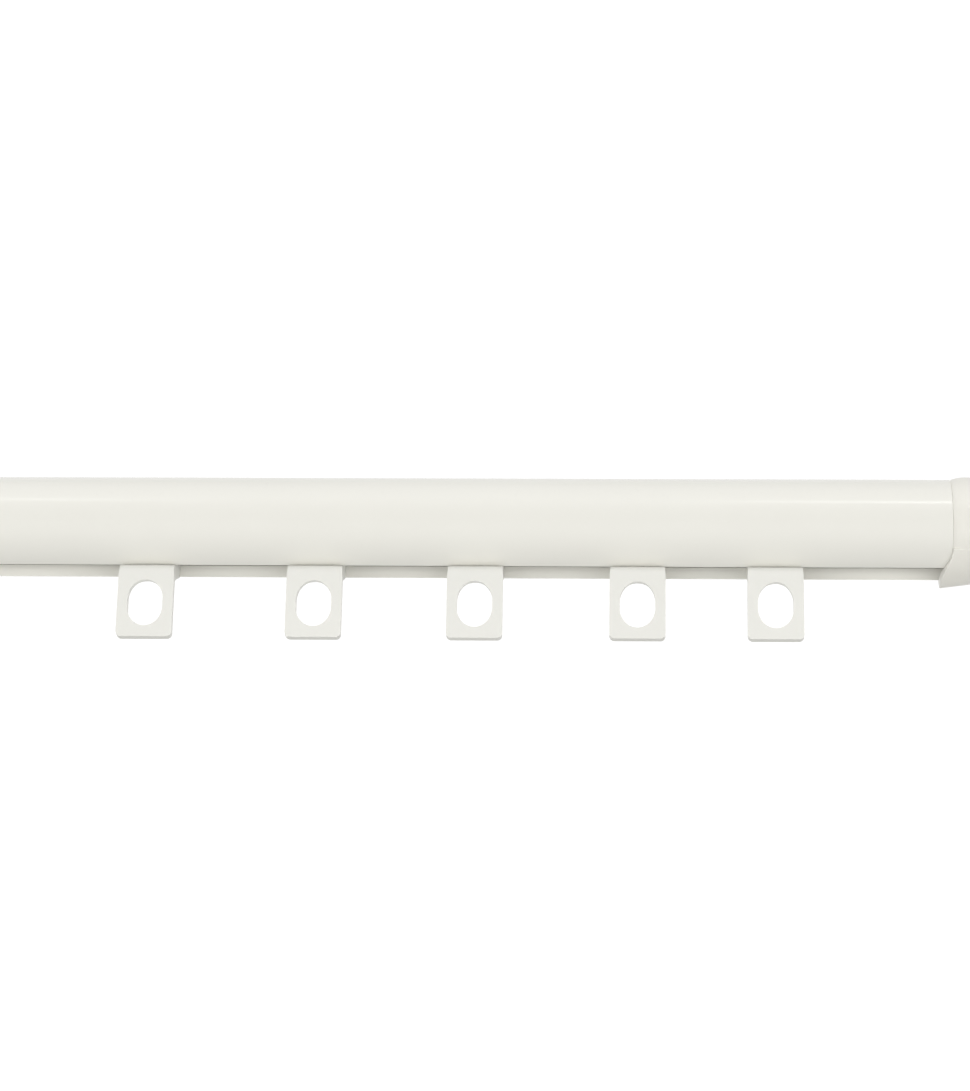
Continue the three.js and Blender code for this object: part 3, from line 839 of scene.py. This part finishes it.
def make_wall_plate(settings):
    """A disc with two screw holes and, between them, a bolt hole that is wider behind."""
    radius, front, over = 25, -4, 2
    bolt_head, bolt, hole, recess = 6.3, 3.3, 2.4, -3.3
    plate = rod("wall plate", radius, front, 0, settings.facets)
    offset = settings.screw_pitch / 2
    cutters = [rod("hole", hole, front - over, over, 40) for _ in SIDES]
    for cutter, z in zip(cutters, (-offset, offset)):
        cutter.data.transform(Matrix.Translation((0, 0, z)))
    cutters.append(turned("bolt hole", [
        (0, front - over), (bolt, front - over), (bolt, recess),
        (bolt_head, recess), (bolt_head, over), (0, over),
    ], 48))
    carve(plate, *cutters)
    round_edges(plate, 0.35 * MM)
    smooth(plate)
    return plate


def make_cover(settings):
    """A pressed cover: a skirt, a rounded shoulder and a flat front with a groove by the stem."""
    low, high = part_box("left_cover")
    outer, front = (high.x - low.x) / 2 / MM, low.y / MM
    wall = settings.cover_wall / MM
    skirt, shoulder, hole = -5.35, 5.0, 6.3
    groove, flank, depth = hole + 3, 0.4, 0.35
    tall = skirt - front

    def shell(inset):
        """The shoulder as a quarter of an oval, from the skirt to the flat front."""
        centre = (outer - shoulder, skirt)
        return [(centre[0] + (shoulder - inset) * math.cos(a), centre[1] - (tall - inset) * math.sin(a))
                for a in quarter(12)]

    profile = [(outer, 0), *shell(0),
               (groove + flank, front), (groove, front + depth), (groove - flank, front),
               (hole, front), (hole, front + wall), *reversed(shell(wall)), (outer - wall, 0), (outer, 0)]
    cover = turned("cover", profile, settings.facets)
    round_edges(cover, 0.3 * MM, sharper_than=50)
    smooth(cover)
    return cover


def make_stem(settings):
    low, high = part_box("left_stem")
    radius, tip, foot = (high.x - low.x) / 2 / MM, low.y / MM, high.y / MM
    bore, deep = 3.3, -22
    stem = turned("stem", [
        (0, tip), (radius, tip), (radius, foot), (bore, foot), (bore, deep), (0, deep),
    ], 64)
    round_edges(stem, 0.5 * MM)
    smooth(stem)
    return stem


def make_saddle(settings):
    """The cast holder: a band round the back and top of the tube, a hub and a screw boss."""
    low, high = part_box("left_saddle")
    width, hub_end, boss_top = high.x - low.x, high.y, high.z - AXIS_Z
    inner = TUBE_RADIUS + settings.bore_room
    outer = inner + settings.saddle_wall
    ends = [math.degrees(settings.saddle_rear), math.degrees(settings.saddle_front)]
    points = arc(outer, *ends, 120, centre=(AXIS_Y, AXIS_Z))
    band = draw("saddle", [(-width / 2, y, z) for y, z in points])
    with editing(band):
        pick_all()
        pull_out(x=width)
    close_up(band)
    face_out(band)
    use(band, "SOLIDIFY", thickness=settings.saddle_wall, offset=-1, use_even_offset=True)
    round_edges(band, 0.8 * MM, segments=4)

    hub_radius, root, end = settings.hub_diameter / 2 / MM, (AXIS_Y + inner) / MM + 1, hub_end / MM
    foot = flared(hub_radius, 1.2, root + 1.6, 2.6, 6)
    rim = rounded(hub_radius, end, 0.8, 4)
    hub = turned("hub", [(0, root), (foot[0][0], root), *foot, *rim, (0, end)], 96)
    boss_radius, boss_root, top = settings.boss_diameter / 2 / MM, inner / MM + 1, boss_top / MM
    foot = flared(boss_radius, 1.2, boss_root + 1.8, 1.2, 5)
    rim = rounded(boss_radius, top, 0.6, 4)
    boss = turned("boss", [(0, boss_root), (foot[0][0], boss_root), *foot, *rim, (0, top)], 72)
    upright = Matrix.Translation((0, AXIS_Y, AXIS_Z)) @ Matrix.Rotation(math.pi / 2, 4, "X")
    boss.data.transform(upright)
    carve(band, hub, boss, operation="UNION")

    room = settings.bore_room / MM
    stem_low, stem_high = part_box("left_stem")
    socket = rod("socket", (stem_high.x - stem_low.x) / 2 / MM + room, stem_low.y / MM - room, end + 2, 64)
    tube_screw_hole = rod("tube screw hole", 2.5 + room, inner / MM - 2, top + 2, 40)
    tube_screw_hole.data.transform(upright)
    stem_screw_hole = rod("stem screw hole", 2 + room, -hub_radius - 4, 0, 40)
    under_hub = Matrix.Translation((0, middle("left_stem_screw").y, AXIS_Z))
    stem_screw_hole.data.transform(under_hub @ Matrix.Rotation(math.pi / 2, 4, "X"))
    carve(band, socket, tube_screw_hole, stem_screw_hole)
    close_up(band)
    smooth(band)
    return band


def make_set_screw(name, radius, end):
    """A headless screw along Y: blunt point at the start, hex socket at the end."""
    core, pitch = radius * 0.84, 0.8 if radius > 2.2 else 0.7
    screw = threaded_rod(name, core, radius, pitch, 0, end)
    blunt, wide = radius * 0.6, radius * 1.3
    point = turned("point", [(blunt, -1), (blunt, 0), (wide, radius * 0.7), (wide, -1), (blunt, -1)], 48)
    carve(screw, point, hex_socket("key", radius, end - radius, end + 1))
    smooth(screw, 30)
    return screw


def make_arm_bolt():
    """A flat-headed bolt along Y, its head to the wall and a hex socket in it."""
    radius, seat, back = 6, -3, -0.3
    head = turned("arm bolt", [
        (0, seat), (radius, seat), (radius, -0.8), (radius - 0.5, back), (0, back),
    ], 64)
    shank = threaded_rod("thread", 2.5, 3, 1.0, -20, -2.5)
    carve(head, shank, operation="UNION")
    carve(head, hex_socket("key", 4, -2, 1))
    smooth(head, 30)
    return head


def make_wall_screw():
    low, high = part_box("left_upper_wall_screw")
    top, tip = low.y / MM, high.y / MM
    radius, under, rim, rise, taper = 4, top + 2.6, 0.9, 1.7, 6
    crown = [(radius * math.sin(a), under - rim - rise * math.cos(a)) for a in quarter(8)]
    head = turned("wall screw", [*crown, (radius, under), (0, under)], 64)
    shank = threaded_rod("thread", 1.5, 2.1, 1.6, under - 0.5, tip)
    with editing(shank):
        for i in range(taper):
            pick(shank, lambda at: at.y > (tip - taper + i) * MM)
            widen((0, 0, 0), x=0.8, z=0.8)
    carve(head, shank, operation="UNION")
    arms = []
    for turn in (0, math.pi / 2):
        arm = begin("cross", bpy.ops.mesh.primitive_cube_add, size=1, location=(0, top * MM, 0),
                    scale=(4.6 * MM, 2.6 * MM, 0.9 * MM))
        with editing(arm):
            pick(arm, lambda at: at.y > top * MM)
            widen((0, 0, 0), x=0.45, z=0.7)
        arm.data.transform(Matrix.Rotation(turn, 4, "Y"))
        arms.append(arm)
    carve(head, *arms)
    smooth(head, 30)
    return head


def make_wall_plug():
    """A nylon plug: a collar, barbed rings and a slit that lets the screw spread it."""
    low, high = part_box("left_upper_wall_plug")
    start, end = low.y / MM, high.y / MM
    collar, body, bore, barb = 4.5, 3.5, 2.4, 0.35
    rings = 10
    first, last = start + 9, end - 1
    step = (last - first) / rings
    barbs = []
    for i in range(rings):
        y = first + step * i
        barbs += [(body - barb, y + 0.1), (body, y + step * 0.8), (body - barb, y + step * 0.95)]
    plug = turned("wall plug", [
        (bore, start), (collar, start), (collar, start + 1), (body, start + 1), (body, first), *barbs,
        (body - 0.9, end), (bore, end), (bore, start),
    ], 64)
    slit_width, slit_start, slit_end = 0.8, start + 12.1, end + 1.1
    slit = begin("slit", bpy.ops.mesh.primitive_cube_add, size=1,
                 location=(0, (slit_start + slit_end) / 2 * MM, 0),
                 scale=(slit_width * MM, (slit_end - slit_start) * MM, 2 * collar * MM))
    carve(plug, slit)
    smooth(plug, 35)
    return plug


# ---- operators ----------------------------------------------------------------------
class CURTAINROD_OT_tube(bpy.types.Operator):
    """Build the slotted tube"""
    bl_idname = "curtainrod.tube"
    bl_label = "Slotted Tube"

    def execute(self, context):
        make_tube(context.scene.curtain_rod.tube)
        return {"FINISHED"}


class CURTAINROD_OT_gliders(bpy.types.Operator):
    """Build one eyelet glider and set a copy at each place along the tube"""
    bl_idname = "curtainrod.gliders"
    bl_label = "Eyelet Gliders"

    def execute(self, context):
        pattern = make_glider_pattern(context.scene.curtain_rod.glider)
        hand_over_copies(pattern, GLIDERS, lambda node: (middle(node).x, AXIS_Y, AXIS_Z),
                         glider_plastic())
        return {"FINISHED"}


class CURTAINROD_OT_end_caps(bpy.types.Operator):
    """Build the end caps, the left one turned to face its own end"""
    bl_idname = "curtainrod.end_caps"
    bl_label = "End Caps"

    def execute(self, context):
        pattern = make_cap_pattern(context.scene.curtain_rod.cap)
        for side, x, turn in (("right", TUBE_HIGH.x, 0), ("left", TUBE_LOW.x, math.pi)):
            cap = copy_to(pattern, side, (x, AXIS_Y, AXIS_Z), Matrix.Rotation(turn, 4, "Z"))
            hand_over(cap, f"end_cap_{side}", cap_plastic())
        bpy.data.objects.remove(pattern)
        return {"FINISHED"}


def on_both_sides(pattern, part, material):
    """Sets a bracket's piece on each side; the pattern is modelled at X = 0."""
    hand_over_copies(pattern, [f"{side}_{part}" for side in SIDES],
                     lambda node: (middle(node).x, 0, 0), material)


def painted_on_both_sides(make, part):
    pattern = make(bpy.context.scene.curtain_rod.bracket)
    on_both_sides(pattern, part, gloss_paint())


class CURTAINROD_OT_wall_plates(bpy.types.Operator):
    """Build the plates that the brackets are screwed on by"""
    bl_idname = "curtainrod.wall_plates"
    bl_label = "Wall Plates"

    def execute(self, context):
        painted_on_both_sides(make_wall_plate, "wall_plate")
        return {"FINISHED"}


class CURTAINROD_OT_covers(bpy.types.Operator):
    """Build the covers over the plates"""
    bl_idname = "curtainrod.covers"
    bl_label = "Covers"

    def execute(self, context):
        painted_on_both_sides(make_cover, "cover")
        return {"FINISHED"}


class CURTAINROD_OT_stems(bpy.types.Operator):
    """Build the stems between plate and saddle"""
    bl_idname = "curtainrod.stems"
    bl_label = "Stems"

    def execute(self, context):
        painted_on_both_sides(make_stem, "stem")
        return {"FINISHED"}


class CURTAINROD_OT_saddles(bpy.types.Operator):
    """Build the saddles that hold the tube"""
    bl_idname = "curtainrod.saddles"
    bl_label = "Saddles"

    def execute(self, context):
        painted_on_both_sides(make_saddle, "saddle")
        return {"FINISHED"}


class CURTAINROD_OT_set_screws(bpy.types.Operator):
    """Build the headless screws that clamp the tube and the stem"""
    bl_idname = "curtainrod.set_screws"
    bl_label = "Set Screws"

    def execute(self, context):
        for part, direction in (("tube_screw", 1), ("stem_screw", -1)):
            low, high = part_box(f"left_{part}")
            screw = make_set_screw(part, (high.y - low.y) / 2 / MM, (high.z - low.z) / MM)
            screw.data.transform(Matrix.Rotation(direction * math.pi / 2, 4, "X"))
            start = low.z if direction > 0 else high.z
            hand_over_copies(screw, [f"{side}_{part}" for side in SIDES],
                             lambda node: (middle(node).x, middle(node).y, start),
                             zinc_plate())
        return {"FINISHED"}


class CURTAINROD_OT_arm_bolts(bpy.types.Operator):
    """Build the bolts that hold the stems to the plates"""
    bl_idname = "curtainrod.arm_bolts"
    bl_label = "Arm Bolts"

    def execute(self, context):
        on_both_sides(make_arm_bolt(), "arm_bolt", zinc_plate())
        return {"FINISHED"}


class CURTAINROD_OT_wall_screws(bpy.types.Operator):
    """Build the wall screws and the plugs that they spread"""
    bl_idname = "curtainrod.wall_screws"
    bl_label = "Wall Screws and Plugs"

    def execute(self, context):
        for make, part, material, slot in (
            (make_wall_screw, "wall_screw", zinc_plate, "zinc_steel"),
            (make_wall_plug, "wall_plug", grey_nylon, "grey_nylon"),
        ):
            nodes = [f"{side}_{end}_{part}" for side in SIDES for end in ("upper", "lower")]
            hand_over_copies(make(), nodes, lambda node: (middle(node).x, 0, middle(node).z),
                             material())
        return {"FINISHED"}


class CURTAINROD_OT_stage(bpy.types.Operator):
    """Set the camera, the floor, the white surroundings and the lamps"""
    bl_idname = "curtainrod.stage"
    bl_label = "Stage"

    def execute(self, context):
        settings = context.scene.curtain_rod.stage
        set_camera(context.scene, settings)
        set_surroundings(context.scene, settings)
        lay_floor(settings)
        hang_lamps(settings)
        context.scene.view_settings.view_transform = "Standard"
        return {"FINISHED"}


# ---- the stage ----------------------------------------------------------------------
def set_camera(scene, settings):
    yaw, pitch, roll = settings.yaw, settings.pitch, settings.roll
    forward = Vector((math.sin(yaw) * math.cos(pitch), math.cos(yaw) * math.cos(pitch), math.sin(pitch)))
    right = Vector((math.cos(yaw), -math.sin(yaw), 0))
    up = right.cross(forward)
    leaning_right = right * math.cos(roll) + up * math.sin(roll)
    leaning_up = up * math.cos(roll) - right * math.sin(roll)
    target = Vector((TUBE_HIGH.x - settings.target_inset, AXIS_Y, AXIS_Z - settings.target_drop))
    data = bpy.data.cameras.new("camera")
    data.lens = settings.lens
    data.clip_end = 100
    camera = bpy.data.objects.new("camera", data)
    scene.collection.objects.link(camera)
    axes = Matrix((leaning_right, leaning_up, -forward)).transposed().to_4x4()
    camera.matrix_world = Matrix.Translation(target - forward * settings.distance) @ axes
    scene.camera = camera


def set_surroundings(scene, settings):
    """Plain white to the camera; dim in front at eye level and bright above and behind for the light."""
    world = bpy.data.worlds.new("white surroundings")
    world.use_nodes = True
    scene.world = world
    tree = world.node_tree
    direction = tree.nodes.new("ShaderNodeTexCoord").outputs["Generated"]
    parts = add_node(tree, "ShaderNodeSeparateXYZ", {"Vector": direction}).outputs

    def ramp(value, start, end, low, high):
        return add_node(tree, "ShaderNodeMapRange", {
            "Value": value, "From Min": start, "From Max": end, "To Min": low, "To Max": high,
        }, interpolation_type="SMOOTHSTEP").outputs[0]

    def blend(share, first, second):
        """All of the first at a share of 0, all of the second at 1."""
        change = maths(tree, "SUBTRACT", second, first)
        return maths(tree, "ADD", first, maths(tree, "MULTIPLY", share, change))

    bright, plain_white = 1.0, 1.1
    in_front = ramp(parts["Z"], 0.3, 0.85, settings.sky_level, settings.sky)
    behind = ramp(parts["Y"], -0.2, 0.35, 0.0, 1.0)
    lit = blend(behind, in_front, bright)
    seen = tree.nodes.new("ShaderNodeLightPath").outputs["Is Camera Ray"]
    strength = blend(seen, lit, plain_white)
    background = tree.nodes["Background"]
    tree.links.new(strength, background.inputs["Strength"])
    background.inputs["Color"].default_value = (1, 1, 1, 1)


def lay_floor(settings):
    floor = begin("floor", bpy.ops.mesh.primitive_plane_add, size=24,
                  location=(0, 0, AXIS_Z - settings.floor_drop))
    grey = settings.floor_shade
    floor.data.materials.append(coated("pale floor", (grey, grey, grey * 0.97), 0.7, 0.05, 60.0, 0.05 * MM,
                                       worn_and_lit=(grey, grey, grey), wear_and_highlight=0.0, dust=0.0))


def hang_lamp(name, centre, width, height, radiance, tilt):
    """A rectangular lamp that the camera can't see; the tilt is its face above level."""
    data = bpy.data.lights.new(name, "AREA")
    data.shape = "RECTANGLE"
    data.size, data.size_y = width, height
    data.energy = radiance * math.pi * width * height
    lamp = bpy.data.objects.new(name, data)
    lamp.location = centre
    lamp.rotation_euler = (math.pi / 2 + tilt, 0, 0)
    lamp.visible_camera = False
    bpy.context.scene.collection.objects.link(lamp)
    return lamp


def hang_lamps(settings):
    """Strips high in front draw lines along the gloss; low panels light the slot and the underside."""
    distance, angle = settings.lamp_distance, settings.lamp_height
    y = AXIS_Y - distance * math.cos(angle)
    z = AXIS_Z + distance * math.sin(angle)
    strip_height, panel_width, apart = 0.16, 5, 1.3
    for name, start, end, radiance in (
        ("right strip", 0.725, 1.25, 5.0),
        ("middle strip", 0.60, 0.705, 3.0),
        ("left strip", -0.30, 0.095, 2.5),
    ):
        hang_lamp(name, ((start + end) / 2, y, z), end - start, strip_height, radiance, -angle)
    for name, y, drop, height, share, tilt in (
        ("upper panel", -apart, 0.315, 0.265, 0.95, 0),
        ("lower panel", -apart, 0.665, 0.43, 1.0, 0),
        ("rear panel", apart, 0.6, 0.5, 1.0, math.radians(135)),
    ):
        centre = (TUBE_HIGH.x - settings.target_inset, AXIS_Y + y, AXIS_Z - drop)
        lamp = hang_lamp(name, centre, panel_width, height, settings.panel * share, tilt)
        lamp.visible_glossy = False


# ---- the panel ----------------------------------------------------------------------
class CURTAINROD_PT_panel(bpy.types.Panel):
    """Sizes, colours and build steps of the curtain rod"""
    bl_idname = "CURTAINROD_PT_panel"
    bl_label = "Curtain Rod"
    bl_space_type = "VIEW_3D"
    bl_region_type = "UI"
    bl_category = "Curtain Rod"

    def draw(self, context):
        settings = context.scene.curtain_rod
        for part in ("tube", "glider", "cap", "bracket", "finish", "stage"):
            box = self.layout.box()
            box.label(text=part.capitalize())
            group = getattr(settings, part)
            for name in group.__annotations__:
                box.prop(group, name)
        for operator in OPERATORS:
            self.layout.operator(operator.bl_idname)


SETTINGS = (TubeSettings, GliderSettings, CapSettings, BracketSettings, FinishSettings, StageSettings,
            CurtainRodSettings)
OPERATORS = (
    CURTAINROD_OT_tube, CURTAINROD_OT_gliders, CURTAINROD_OT_end_caps, CURTAINROD_OT_wall_plates,
    CURTAINROD_OT_covers, CURTAINROD_OT_stems, CURTAINROD_OT_saddles, CURTAINROD_OT_set_screws,
    CURTAINROD_OT_arm_bolts, CURTAINROD_OT_wall_screws, CURTAINROD_OT_stage,
)


def register():
    for made in (*SETTINGS, *OPERATORS, CURTAINROD_PT_panel):
        bpy.utils.register_class(made)
    bpy.types.Scene.curtain_rod = PointerProperty(
        type=CurtainRodSettings, name="Curtain rod", description="Sizes and colours of the curtain rod")


def unregister():
    del bpy.types.Scene.curtain_rod
    for made in reversed((*SETTINGS, *OPERATORS, CURTAINROD_PT_panel)):
        bpy.utils.unregister_class(made)


def main():
    register()
    bpy.ops.curtainrod.stage()
    bpy.ops.curtainrod.tube()
    bpy.ops.curtainrod.gliders()
    bpy.ops.curtainrod.end_caps()
    bpy.ops.curtainrod.wall_plates()
    bpy.ops.curtainrod.covers()
    bpy.ops.curtainrod.stems()
    bpy.ops.curtainrod.saddles()
    bpy.ops.curtainrod.set_screws()
    bpy.ops.curtainrod.arm_bolts()
    bpy.ops.curtainrod.wall_screws()


if __name__ == "__main__":
    main()
